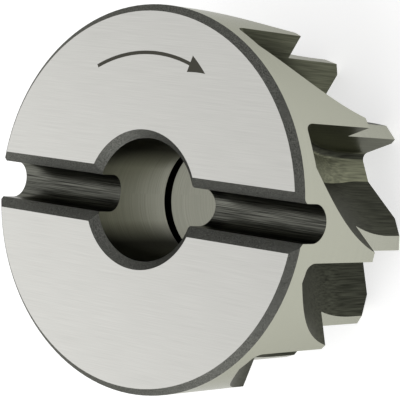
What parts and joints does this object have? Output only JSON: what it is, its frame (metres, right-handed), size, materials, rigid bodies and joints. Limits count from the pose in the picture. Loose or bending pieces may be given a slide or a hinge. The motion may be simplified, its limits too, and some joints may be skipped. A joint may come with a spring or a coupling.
{
  "type": "head tube reamer",
  "caption": "Toothed steel cutter that reams the inside of a bicycle head tube and faces its end square, with a central bore and a drive slot across its back.",
  "frame": {"origin": "on the tool's axis at its front end, the flat plane that the reaming teeth start from and that the tool stands on", "axes": "+Z back along the axis towards the drive face; +X along the drive slot"},
  "size_m": [0.0646, 0.0646, 0.0401],
  "materials": {
    "tool_steel": "dark heat-treated steel with ground faces, margins and bore"
  },
  "bodies": {
    "root": {"head_tube_reamer": "tool_steel"}
  },
  "joints": []
}
